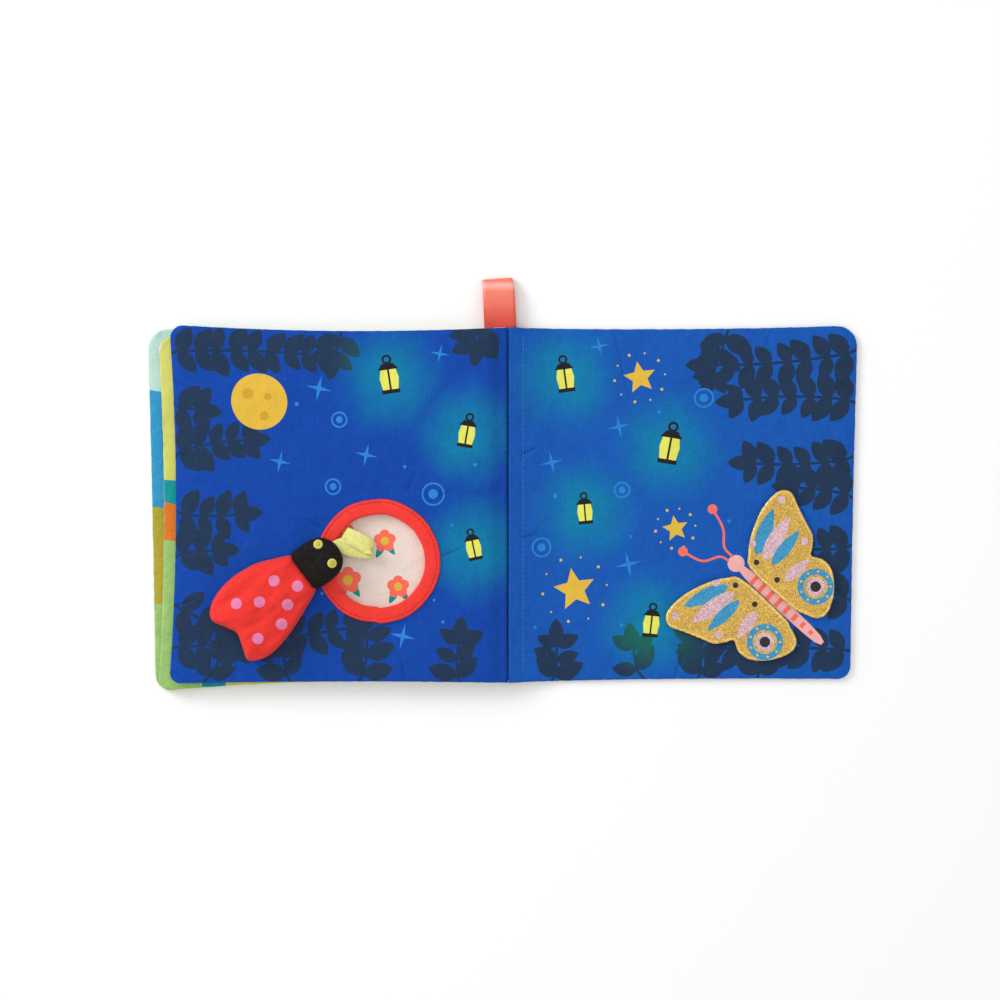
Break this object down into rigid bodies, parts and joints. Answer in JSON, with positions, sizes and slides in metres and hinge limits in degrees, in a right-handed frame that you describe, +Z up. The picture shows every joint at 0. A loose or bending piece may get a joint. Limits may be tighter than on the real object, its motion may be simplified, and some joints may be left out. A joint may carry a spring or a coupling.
{
  "type": "crinkle cloth book",
  "caption": "Soft cloth book for babies, lying open on padded crinkle leaves, with a round window, a tethered stuffed toy, lift-up fabric wings and a ribbon loop.",
  "frame": {"origin": "on the resting plane under the fold, halfway up the page: the middle of the spine tape's underside", "axes": "+Z up from the surface the open book lies on, +X to the right page, +Y to the head of the page, where the ribbon loop is"},
  "size_m": [0.423, 0.2464, 0.0286],
  "materials": {
    "printed_cotton": "woven cotton, printed, matte",
    "crinkle_film": "thin crinkle film",
    "wadding": "soft fibre fill",
    "red_binding": "bias binding, matte",
    "spine_cotton": "woven cotton tape",
    "light_thread": "sewing thread",
    "coral_satin": "satin ribbon",
    "lime_ribbon": "woven ribbon",
    "ladybird_red": "short-pile fleece",
    "ladybird_black": "short-pile fleece",
    "ladybird_eye_lime": "satin stitch",
    "gold_fabric": "metallic printed fabric",
    "wing_backing": "woven cotton"
  },
  "bodies": {
    "binding": {"front_cover_upper_cloth": "printed_cotton", "front_cover_lower_cloth": "printed_cotton", "front_cover_crinkle_film": "crinkle_film", "front_cover_wadding": "wadding", "spine_tape": "spine_cotton", "hang_loop": "coral_satin"},
    "middle_leaf": {"middle_leaf_upper_cloth": "printed_cotton", "middle_leaf_lower_cloth": "printed_cotton", "middle_leaf_crinkle_film": "crinkle_film", "middle_leaf_wadding": "wadding"},
    "window_leaf": {"window_leaf_upper_cloth": "printed_cotton", "window_leaf_lower_cloth": "printed_cotton", "window_leaf_crinkle_film": "crinkle_film", "window_leaf_wadding": "wadding", "window_binding": "red_binding", "tether_ribbon": "lime_ribbon"},
    "ladybird": {"ladybird_body_cloth": "ladybird_red", "ladybird_underside": "ladybird_red", "ladybird_stuffing": "wadding", "ladybird_head": "ladybird_black", "ladybird_eye_upper": "ladybird_eye_lime", "ladybird_eye_lower": "ladybird_eye_lime"},
    "back_cover": {"back_cover_upper_cloth": "printed_cotton", "back_cover_lower_cloth": "printed_cotton", "back_cover_crinkle_film": "crinkle_film", "back_cover_wadding": "wadding", "binding_stitch": "light_thread"},
    "upper_wing": {"upper_wing_face": "gold_fabric", "upper_wing_backing": "wing_backing"},
    "lower_wing": {"lower_wing_face": "gold_fabric", "lower_wing_backing": "wing_backing"}
  },
  "joints": [
    {"name": "middle_leaf_turn", "type": "hinge", "parent": "binding", "child": "middle_leaf", "pos_m": [0, 0, 0.00875], "axis": [0, 1, 0], "range_deg": [0, 76]},
    {"name": "window_leaf_turn", "type": "hinge", "parent": "middle_leaf", "child": "window_leaf", "pos_m": [0, 0, 0.00875], "axis": [0, 1, 0], "range_deg": [0, 76]},
    {"name": "back_cover_turn", "type": "hinge", "parent": "binding", "child": "back_cover", "pos_m": [0, 0, 0.00875], "axis": [0, 1, 0], "range_deg": [-165, 0]},
    {"name": "ladybird_flip", "type": "hinge", "parent": "window_leaf", "child": "ladybird", "pos_m": [-0.1229, -0.0165, 0.0217], "axis": [-1, 0, 0], "range_deg": [0, 172]},
    {"name": "upper_wing_lift", "type": "hinge", "parent": "back_cover", "child": "upper_wing", "pos_m": [0.14243, -0.03692, 0.00565], "axis": [0.7373, -0.6756, 0], "range_deg": [0, 172]},
    {"name": "lower_wing_lift", "type": "hinge", "parent": "back_cover", "child": "lower_wing", "pos_m": [0.13717, -0.04268, 0.00565], "axis": [0.7373, -0.6756, 0], "range_deg": [-172, 0]}
  ]
}
